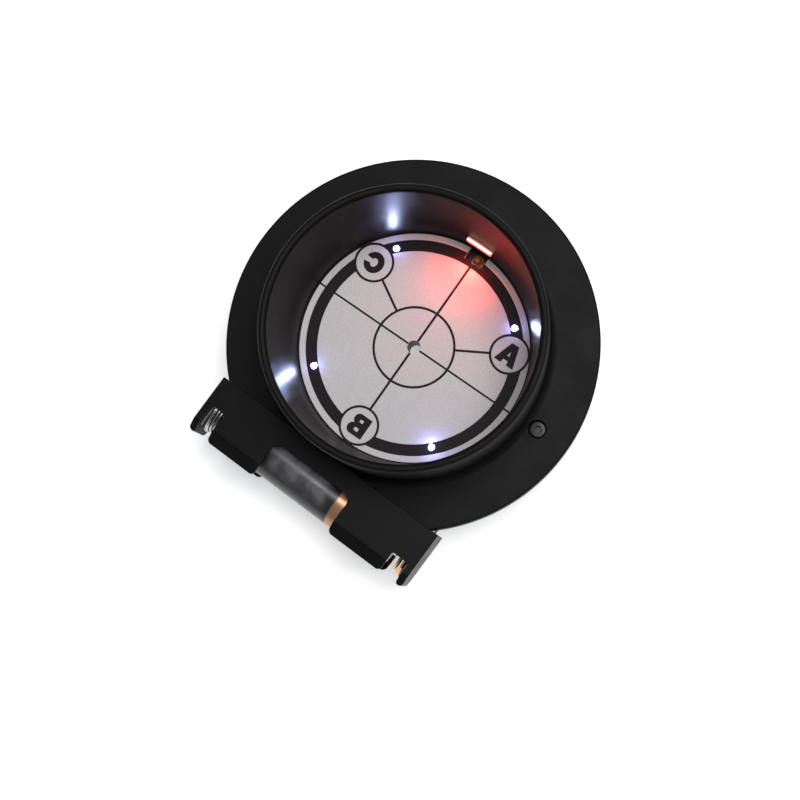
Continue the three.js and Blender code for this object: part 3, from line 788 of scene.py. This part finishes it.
cover_front = cover_high.z - face_centre.z
cover_rear = cover_low.z - face_centre.z
cover_floor = 0.002
cavity_radius = 0.0252
dish_radius = 0.011
dish_depth = 0.0008
sleeve_radius = 0.005
eye_hole_radius = sleeve_radius + 0.0002
cover_bm = turned([
    (cavity_radius, cover_front),
    (cavity_radius, cover_rear + cover_floor),
    (eye_hole_radius, cover_rear + cover_floor),
    (eye_hole_radius, cover_rear + dish_depth),
    (dish_radius, cover_rear),
    (body_radius, cover_rear),
    (body_radius, cover_front),
], steps=192)
soften_ring(cover_bm, body_radius, cover_rear, 0.0009, 5)
soften_ring(cover_bm, body_radius, cover_front, 0.0002, 2)
soften_ring(cover_bm, dish_radius, cover_rear, 0.0008, 4)
soften_ring(cover_bm, eye_hole_radius, cover_rear + dish_depth, 0.0002, 2)
rear_cover = finished(cover_bm, "rear_cover_moulded")
knob_low, knob_high = [corner - face_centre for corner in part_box("switch_knob")]
switch_low, switch_high = [corner - face_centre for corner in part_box("switch_body")]
travel = 0.002
room = Vector((0.00045, 0, 0.00022))
switch_gap = 0.0003
combine(rear_cover, [
    block((switch_low.x - switch_gap, 0.024, cover_rear + cover_floor),
          (switch_high.x + switch_gap, switch_high.y + switch_gap, 0)),
    block(Vector((knob_low.x, switch_high.y - 0.001, knob_low.z)) - room,
          Vector((knob_high.x + travel, 0.04, knob_high.z)) + room),
])
soft_edges(rear_cover, edge_round)
stands_for(rear_cover, "housing", "housing", housing_black, "rear_cover")

sleeve_low, sleeve_high = [corner - face_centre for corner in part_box("peep_sleeve")]
throat_z = -0.0128
eye_radius = 0.004
barrel_radius = 0.0026
collar_radius = 0.0065
collar_low = cover_rear + cover_floor + 0.0003
collar_high = -0.0117
sleeve_bm = turned([
    (peep_radius, sleeve_high.z),
    (peep_radius, throat_z),
    (eye_radius, sleeve_low.z),
    (sleeve_radius, sleeve_low.z),
    (sleeve_radius, collar_low),
    (collar_radius, collar_low),
    (collar_radius, collar_high),
    (barrel_radius, collar_high),
    (barrel_radius, sleeve_high.z),
], steps=96)
soften_ring(sleeve_bm, eye_radius, sleeve_low.z, 0.0003, 3)
soften_ring(sleeve_bm, sleeve_radius, sleeve_low.z, 0.0002, 2)
peep_sleeve = finished(sleeve_bm, "peep_sleeve_turned")
stands_for(peep_sleeve, "housing", "moulding", moulded_black, "peep_sleeve")

# ------------------------------------------------------------------ switch knob
# The slide switch's knob is moulded in black and stands out of a window in the cover's side.
# Three grooves across its tip leave ribs for the fingertip.

groove_half = 0.00012
groove_depth = 0.0002
switch_knob = finished(block(knob_low, knob_high), "switch_knob_ribbed")
rib_pitch = (knob_high.x - knob_low.x) / 4
grooves = []
for number in range(1, 4):
    x = knob_low.x + number * rib_pitch
    grooves.append(block((x - groove_half, knob_high.y - groove_depth, knob_low.z - 0.001),
                         (x + groove_half, knob_high.y + 0.001, knob_high.z + 0.001)))
combine(switch_knob, grooves)
soft_edges(switch_knob, 0.00006)
stands_for(switch_knob, "switch_slider", "moulding", moulded_black, "switch_knob")

# ------------------------------------------------------------------ battery holder
# A moulded black trough for one AAA cell. Its lips turn in over the cell, wide notches show
# the cell and narrow ones show the springs. Two screws hold it on the flange's flat, a
# little askew.

holder_half_length = 0.027
holder_half_width = 0.00635
holder_wall = 0.001
holder_floor = 0.0012
holder_end_wall = 0.0014
holder_mouth = -0.006
lip_start = holder_mouth + 0.0024
lip_half = 0.0046
holder_screw_x = 0.012
cell_notch = (-0.0105, 0.0085)
negative_notch_end = -0.0223
positive_notch_start = 0.0216
cut_past = 0.00003


def rounded(bm, edges, radius):
    """Round edges of a bmesh off to a radius."""
    bmesh.ops.bevel(bm, geom=edges, offset=radius, segments=6, profile=0.5, affect="EDGES",
                    material=-1)


def rounded_slot(x_low, x_high, inner_y, radius):
    """A cutter through both walls, open at the mouth, with rounded inner corners."""
    bm = block((x_low, holder_mouth - 0.01, -0.01), (x_high, inner_y, 0.01))
    corners = [edge for edge in bm.edges
               if all(abs(vert.co.y - inner_y) < 1e-6 for vert in edge.verts)
               and abs(edge.verts[0].co.z - edge.verts[1].co.z) > 0.001]
    rounded(bm, corners, radius)
    return bm


def along_trough(section, half_length):
    """Extrude a section of (y, z) corners along X, to both ends."""
    return extruded([(-half_length, y, z) for y, z in section], (2 * half_length, 0, 0))


def trough_outside():
    """The trough's outside, with its lips turned in and its bends and end corners rounded."""
    half = holder_half_width
    bm = along_trough([(holder_back, -half), (lip_start, -half), (holder_mouth, -lip_half),
                       (holder_mouth, lip_half), (lip_start, half), (holder_back, half)],
                      holder_half_length)
    bends = [edge for edge in bm.edges
             if all(abs(vert.co.y - lip_start) < 1e-6 for vert in edge.verts)
             and abs(edge.verts[0].co.x - edge.verts[1].co.x) > 0.01]
    rounded(bm, bends, 0.0004)
    ends = [edge for edge in bm.edges
            if all(abs(vert.co.y - holder_mouth) < 1e-6 for vert in edge.verts)
            and abs(edge.verts[0].co.z - edge.verts[1].co.z) > 0.005]
    rounded(bm, ends, 0.0008)
    return bm


holder = finished(trough_outside(), "battery_holder_moulded", in_holder)
inside_x = holder_half_length - holder_end_wall
inside_z = holder_half_width - holder_wall
trough = along_trough([
    (holder_back - holder_floor, -inside_z), (lip_start - 0.0002, -inside_z),
    (holder_mouth - 0.0008, -0.0033), (holder_mouth - 0.0008, 0.0033),
    (lip_start - 0.0002, inside_z), (holder_back - holder_floor, inside_z),
], inside_x)


def corner_cutter(x, inward, size):
    """Rounds off the mouth corner of a wall that runs from x in the inward direction."""
    turns = [math.pi / 2 * step / 8 for step in range(9)]
    start = x - inward * cut_past
    low = holder_mouth - cut_past
    outline = [(x - inward * 0.001, low - 0.001), (x - inward * 0.001, low + size)]
    outline += [(start + inward * size * (1 - math.cos(turn)), low + size * (1 - math.sin(turn)))
                for turn in turns]
    outline.append((start + inward * size, low - 0.001))
    return extruded([(across, up, -0.01) for across, up in outline], (0, 0, 0.02))


lip_corners = [
    (-inside_x, -1, 0.0005), (negative_notch_end, 1, 0.001), (cell_notch[0], -1, 0.0011),
    (cell_notch[1], 1, 0.0012), (positive_notch_start, -1, 0.0012), (inside_x, 1, 0.0005),
]
holder_cuts = [
    trough,
    *[corner_cutter(*corner) for corner in lip_corners],
    rounded_slot(*cell_notch, 0.0024, 0.0016),
    rounded_slot(-inside_x, negative_notch_end, 0.0007, 0.0009),
    rounded_slot(positive_notch_start, inside_x - 0.0001, -0.0013, 0.0005),
]
for side in (-1, 1):
    hole = cylinder(0.0012, -0.01, 0.0, segments=32)
    bmesh.ops.rotate(hole, verts=hole.verts, matrix=Matrix.Rotation(math.radians(90), 3, "X"))
    bmesh.ops.translate(hole, verts=hole.verts, vec=(side * holder_screw_x, 0, 0))
    holder_cuts.append(hole)
combine(holder, holder_cuts, place=in_holder)
soft_edges(holder, 0.00016, 3)
stands_for(holder, "housing", "moulding", moulded_black, "battery_holder")

# ------------------------------------------------------------------ springs
# Coil springs at both ends of the trough: a bright nickelled one at the cell's negative end
# and a copper-coloured one at its positive end. Both narrow towards the cell.

cell_half = 0.0445 / 2
spring_base = holder_half_length - holder_end_wall - 0.0005
dead_turn = 0.75
steps_per_turn = 28


def coil_spring(name, side, turns, base_radius, tip_radius, wire_radius, start_turn):
    """A coil of round wire with a flat dead turn at its base."""
    start = spring_base - wire_radius
    end = cell_half + 0.0001 + wire_radius
    total = round(turns * steps_per_turn)
    curve = bpy.data.curves.new(name, "CURVE")
    curve.dimensions = "3D"
    curve.bevel_depth = wire_radius
    curve.bevel_resolution = 4
    curve.use_fill_caps = True
    spline = curve.splines.new("POLY")
    spline.points.add(total)
    for number, point in enumerate(spline.points):
        share = number / total
        rise = max(0.0, share * turns - dead_turn) / (turns - dead_turn)
        radius = base_radius + (tip_radius - base_radius) * rise
        angle = (start_turn + share * turns) * math.tau
        point.co = (side * (start + (end - start) * rise), radius * math.cos(angle),
                    radius * math.sin(angle), 1)
    spring = bpy.data.objects.new(name, curve)
    bpy.context.scene.collection.objects.link(spring)
    bpy.context.view_layer.update()
    solved = spring.evaluated_get(bpy.context.evaluated_depsgraph_get())
    mesh = bpy.data.meshes.new_from_object(solved)
    bpy.data.objects.remove(spring)
    bm = bmesh.new()
    bm.from_mesh(mesh)
    bpy.data.meshes.remove(mesh)
    return finished(bm, name, in_holder, 50)


copper_wire = make_metal("copper_wire", (0.78, 0.42, 0.20), (0.35, 0.16, 0.07), 0.18, 0.32)
steel_spring = coil_spring("negative_spring_coil", -1, turns=4.25, base_radius=0.0045,
                           tip_radius=0.0037, wire_radius=0.00026, start_turn=0.1)
stands_for(steel_spring, "housing", "plated_steel", nickel, "negative_spring")
copper_spring = coil_spring("positive_spring_coil", 1, turns=2.75, base_radius=0.0046,
                            tip_radius=0.0038, wire_radius=0.0003, start_turn=0.35)
stands_for(copper_spring, "housing", "copper_wire", copper_wire, "positive_spring")

# ------------------------------------------------------------------ holder screws and leads
# Countersunk screws hold the trough by its floor. A black and a red lead run from the
# contacts' tails along the groove in the flat to the board.


def make_lead(name, colour, pale):
    """Soft wire insulation with a faint print of the tool that drew it."""
    material, tree, shader, place = new_material(name)
    grain = placed_group(tree, surface_grain, place, Fine=2600.0)
    tree.links.new(blended(tree, grain.outputs["Tone"], colour, pale), shader.inputs["Base Color"])
    shader.inputs["Roughness"].default_value = 0.38
    bumped(tree, shader, grain.outputs["Height"], 1e-5)
    return material


screw_length = 0.0062
countersink_radius = 0.0017
countersink_depth = 0.0009
cross_reach, cross_half, cross_depth = 0.0009, 0.00014, 0.0004
for number, side in ((1, -1), (2, 1)):
    bm = turned([(0, -screw_length), (shank_radius, -screw_length), (shank_radius, -countersink_depth),
                 (countersink_radius, 0), (0, 0)], 48, closed=False)
    soften_ring(bm, countersink_radius, 0, 0.0001, 2)
    head_place = Matrix.Translation((side * holder_screw_x, holder_back - holder_floor, 0))
    upright = in_holder @ head_place @ Matrix.Rotation(math.radians(90), 4, "X")
    holder_screw = finished(bm, f"holder_screw_{number}_turned", upright)
    recess = [block((-cross_reach, -cross_half, -cross_depth), (cross_reach, cross_half, 0.001)),
              block((-cross_half, -cross_reach, -cross_depth), (cross_half, cross_reach, 0.001))]
    combine(holder_screw, recess, place=upright)
    stands_for(holder_screw, "housing", "plated_steel", nickel, f"holder_screw_{number}")

red_sleeve = make_lead("red_sleeve", (0.34, 0.012, 0.01), (0.42, 0.02, 0.016))
black_sleeve = make_lead("black_sleeve", (0.012, 0.012, 0.012), (0.02, 0.02, 0.02))
dressed({"positive_lead": red_sleeve, "negative_lead": black_sleeve})

# ------------------------------------------------------------------ AAA cell
# A dry cell in shrink film, black with a copper-brown positive end. The film rolls over both
# ends, and the bare cap at the positive end carries a pressed nub.

cell_radius = 0.0052
film_low = -cell_half + 0.00055
film_high = cell_half - 0.00165
film_round = 0.0006
copper_from = 0.0063
along_x = in_holder @ Matrix.Rotation(math.radians(90), 4, "Y")


def vector_maths(tree, operation, first, second):
    """A Vector Math node between a socket and a vector."""
    node = tree.nodes.new("ShaderNodeVectorMath")
    node.operation = operation
    tree.links.new(first, node.inputs[0])
    node.inputs[1].default_value = second
    return node


def make_cell_film():
    """Glossy film: black, then a soft edge to copper brown, with a soft grey patch on its upper side in
    the notch that is partly faint print and partly a painted sheen.
    """
    material, tree, shader, place = new_material("cell_film")
    shifted = vector_maths(tree, "SUBTRACT", place, cell_centre).outputs["Vector"]
    length = vector_maths(tree, "DOT_PRODUCT", shifted, along).outputs["Value"]
    across = vector_maths(tree, "DOT_PRODUCT", shifted, -lift).outputs["Value"]
    copper = ranged(tree, length, copper_from - 0.0003, copper_from + 0.0003)
    grain = placed_group(tree, surface_grain, place, Fine=3000.0, Slow=260.0)
    black = blended(tree, grain.outputs["Tone"], (0.008, 0.008, 0.0085), (0.014, 0.014, 0.015))
    up = axes_of(tree, shifted)["Z"]
    # painted sheen: a soft grey patch on the film's upper side between the notch's ends, where the
    # overhead light lies along the cell; it also stands for faint blurred print
    band = maths(tree, "MULTIPLY", ranged(tree, across, -0.0042, -0.0012),
                 ranged(tree, across, 0.0018, 0.0042, 1.0, 0.0))
    ends = maths(tree, "MULTIPLY", ranged(tree, length, -0.0105, -0.0078),
                 ranged(tree, length, 0.0030, 0.0056, 1.0, 0.0))
    front = maths(tree, "MULTIPLY", band, ranged(tree, up, 0.001, 0.003))
    painted_sheen_and_print = maths(tree, "MULTIPLY", maths(tree, "MULTIPLY", front, ends),
                 ranged(tree, noise(tree, place, 330.0, 1.5), 0.30, 0.62, 0.35, 1.0))
    dark = blended(tree, painted_sheen_and_print, black, (0.125, 0.118, 0.125))
    warm = blended(tree, grain.outputs["Tone"], (0.34, 0.15, 0.07), (0.52, 0.29, 0.16))
    tree.links.new(blended(tree, copper, dark, warm), shader.inputs["Base Color"])
    tree.links.new(maths(tree, "MULTIPLY", copper, 0.6), shader.inputs["Metallic"])
    tree.links.new(ranged(tree, grain.outputs["Tone"], 0.3, 0.7, 0.24, 0.34), shader.inputs["Roughness"])
    bumped(tree, shader, grain.outputs["Tone"], 2e-5)
    return material


film_bm = turned([(0, film_low), (cell_radius, film_low), (cell_radius, film_high), (0, film_high)],
                 96, closed=False)
soften_ring(film_bm, cell_radius, film_low, film_round, 5)
soften_ring(film_bm, cell_radius, film_high, film_round, 5)
cell_film = make_cell_film()
battery_film = finished(film_bm, "battery_jacket_film", along_x)
stands_for(battery_film, "battery", "cell_film", cell_film, "battery_jacket")

cap_gap = 0.0001
negative_radius = 0.0042
negative_bm = turned([(0, -cell_half), (negative_radius, -cell_half), (0.0044, film_low - cap_gap),
                      (0, film_low - cap_gap)], 64, closed=False)
soften_ring(negative_bm, negative_radius, -cell_half, 0.0002, 3)
negative_cap = finished(negative_bm, "battery_negative_cap_pressed", along_x)
stands_for(negative_cap, "battery", "plated_steel", nickel, "battery_negative_cap")

rim_radius = 0.0039
rim_height = film_high + 0.0006
nub_radius = 0.0018
positive_bm = turned([(0, film_high + cap_gap), (0.0041, film_high + cap_gap), (rim_radius, rim_height),
                      (0.0019, rim_height), (nub_radius, cell_half), (0, cell_half)], 64, closed=False)
soften_ring(positive_bm, rim_radius, rim_height, 0.00015, 3)
soften_ring(positive_bm, nub_radius, cell_half, 0.0003, 4)
positive_cap = finished(positive_bm, "battery_positive_cap_pressed", along_x)
stands_for(positive_cap, "battery", "plated_steel", nickel, "battery_positive_cap")

# ------------------------------------------------------------------ floor and light
# A plain pale paper floor that glows a little, so that the ground stays white, a large soft
# box overhead, a weaker one from the side and a pale room.

floor_bm = bmesh.new()
bmesh.ops.create_grid(floor_bm, x_segments=1, y_segments=1, size=3.0)
floor = finished(floor_bm, "floor", Matrix.Identity(4))
floor_material, floor_tree, floor_shader, floor_place = new_material("floor_paper")
floor_tone = noise(floor_tree, floor_place, 9.0)
floor_tree.links.new(blended(floor_tree, floor_tone, (0.86, 0.86, 0.86), (0.89, 0.89, 0.89)),
                     floor_shader.inputs["Base Color"])
floor_shader.inputs["Roughness"].default_value = 0.85
floor_shader.inputs["Emission Color"].default_value = (1, 1, 1, 1)
floor_shader.inputs["Emission Strength"].default_value = 0.45
floor.data.materials.append(floor_material)


def soft_box(name, offset, size, power):
    """A square area light that looks at the middle of the flange's face."""
    data = bpy.data.lights.new(name, "AREA")
    data.size = size
    data.energy = power
    lamp = bpy.data.objects.new(name, data)
    bpy.context.scene.collection.objects.link(lamp)
    lamp.location = face_centre + Vector(offset)
    lamp.rotation_euler = (-Vector(offset)).to_track_quat("-Z", "Y").to_euler()


soft_box("overhead_box", (0.10, 0.20, 0.80), size=0.45, power=5.5)
soft_box("side_box", (0.60, 0.25, 0.35), size=0.4, power=0.6)

world = bpy.data.worlds.new("pale_room")
world.use_nodes = True
world.node_tree.nodes["Background"].inputs["Color"].default_value = (0.92, 0.95, 1.0, 1)
world.node_tree.nodes["Background"].inputs["Strength"].default_value = 0.3
bpy.context.scene.world = world
